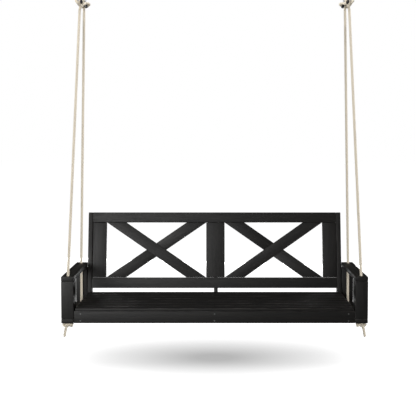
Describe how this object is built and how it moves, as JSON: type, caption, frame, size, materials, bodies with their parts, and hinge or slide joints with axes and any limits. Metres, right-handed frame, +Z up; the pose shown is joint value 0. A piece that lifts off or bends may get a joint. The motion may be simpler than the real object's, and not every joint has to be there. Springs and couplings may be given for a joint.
{
  "type": "porch swing",
  "caption": "Hanging porch swing bench with box arms, slatted seat and crossed-brace back, on four ropes hitched to snap hooks in ceiling eye plates.",
  "frame": {"origin": "in the ceiling plane, midway between the two eye plates, right above the bench's centre of mass", "axes": "+X to the right seen from the front, +Y backwards from the seat towards its back, +Z up"},
  "size_m": [1.6, 0.6042, 1.8929],
  "materials": {
    "painted_wood": "black paint, satin to matt, with the wood's grain showing through",
    "rope": "natural three-strand twisted rope",
    "end_cap": "black sleeve on a rope's end",
    "steel": "bright zinc-plated steel"
  },
  "bodies": {
    "ceiling_plates": {"eye_plate_left": "steel", "eye_plate_right": "steel"},
    "hook_left": {"snap_hook_left": "steel", "gate_pin_left": "steel"},
    "hook_right": {"snap_hook_right": "steel", "gate_pin_right": "steel"},
    "gate_left": {"snap_gate_left": "steel"},
    "gate_right": {"snap_gate_right": "steel"},
    "bench": {"arm_cap_left": "painted_wood", "arm_base_left": "painted_wood", "arm_front_post_left": "painted_wood", "arm_rear_post_left": "painted_wood", "arm_cap_right": "painted_wood", "arm_base_right": "painted_wood", "arm_front_post_right": "painted_wood", "arm_rear_post_right": "painted_wood", "seat_apron": "painted_wood", "seat_rear_rail": "painted_wood", "seat_bearer_left": "painted_wood", "seat_bearer_centre": "painted_wood", "seat_bearer_right": "painted_wood", "seat_slat_1": "painted_wood", "seat_slat_2": "painted_wood", "seat_slat_3": "painted_wood", "seat_slat_4": "painted_wood", "seat_slat_5": "painted_wood", "seat_slat_6": "painted_wood", "seat_slat_7": "painted_wood", "back_upright_left": "painted_wood", "back_upright_centre": "painted_wood", "back_upright_right": "painted_wood", "back_top_rail": "painted_wood", "back_low_rail": "painted_wood", "back_stile_left": "painted_wood", "back_stile_centre": "painted_wood", "back_stile_right": "painted_wood", "brace_left_rising": "painted_wood", "brace_left_falling": "painted_wood", "brace_right_rising": "painted_wood", "brace_right_falling": "painted_wood", "rope_front_left": "rope", "rope_rear_left": "rope", "rope_front_right": "rope", "rope_rear_right": "rope", "knot_front_left": "rope", "knot_rear_left": "rope", "knot_front_right": "rope", "knot_rear_right": "rope", "hitch_front_left": "rope", "hitch_rear_left": "rope", "hitch_front_right": "rope", "hitch_rear_right": "rope", "end_cap_front_left": "end_cap", "end_cap_rear_left": "end_cap", "end_cap_front_right": "end_cap", "end_cap_rear_right": "end_cap"}
  },
  "joints": [
    {"name": "hook_left_swing", "type": "hinge", "parent": "ceiling_plates", "child": "hook_left", "pos_m": [-0.73, 0, -0.0317], "axis": [1, 0, 0], "range_deg": [-20, 20]},
    {"name": "hook_right_swing", "type": "hinge", "parent": "ceiling_plates", "child": "hook_right", "pos_m": [0.73, 0, -0.0317], "axis": [1, 0, 0], "range_deg": [-20, 20]},
    {"name": "bench_swing", "type": "hinge", "parent": "hook_left", "child": "bench", "pos_m": [-0.73, 0, -0.1037], "axis": [1, 0, 0], "range_deg": [-10, 10]},
    {"name": "gate_left_hinge", "type": "hinge", "parent": "hook_left", "child": "gate_left", "pos_m": [-0.75, 0, -0.0817], "axis": [0, 1, 0], "range_deg": [0, 25], "stiffness_Nm_per_rad": 0.08, "springref_deg": -11.46},
    {"name": "gate_right_hinge", "type": "hinge", "parent": "hook_right", "child": "gate_right", "pos_m": [0.75, 0, -0.0817], "axis": [0, -1, 0], "range_deg": [0, 25], "stiffness_Nm_per_rad": 0.08, "springref_deg": -11.46}
  ],
  "couplings": [
    {"joint": "hook_right_swing", "follows": "hook_left_swing", "ratio": 1}
  ]
}
